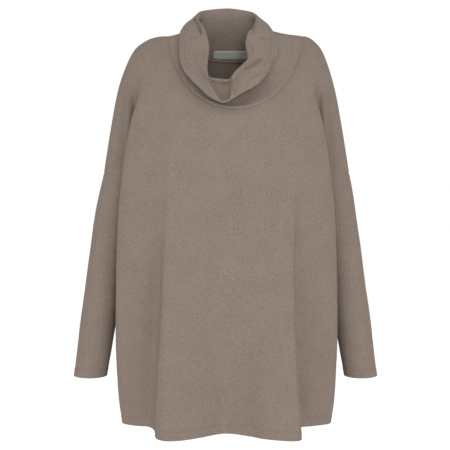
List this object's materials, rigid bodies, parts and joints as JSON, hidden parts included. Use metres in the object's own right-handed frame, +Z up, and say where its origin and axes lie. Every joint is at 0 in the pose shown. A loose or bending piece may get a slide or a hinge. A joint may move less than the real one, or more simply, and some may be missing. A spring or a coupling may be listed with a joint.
{
  "type": "worn long-sleeved cowl-neck sweater",
  "caption": "Loose long knitted sweater with dropped shoulders, straight sleeves and a tall rolled-over cowl collar, hollow and open at the neck, hem and cuffs.",
  "frame": {"origin": "inside the neck, level with the top of the shoulders and between them, where the wearer holds the sweater up", "axes": "+Z up, the front faces -Y, +X to the wearer's left"},
  "size_m": [0.603, 0.3445, 0.8254],
  "materials": {
    "knit": "matt fine knit, taupe",
    "label_tape": "plain woven tape, grey"
  },
  "bodies": {
    "root": {"front": "knit", "back": "knit", "sleeve_right": "knit", "sleeve_left": "knit", "collar": "knit", "label": "label_tape"}
  },
  "joints": []
}
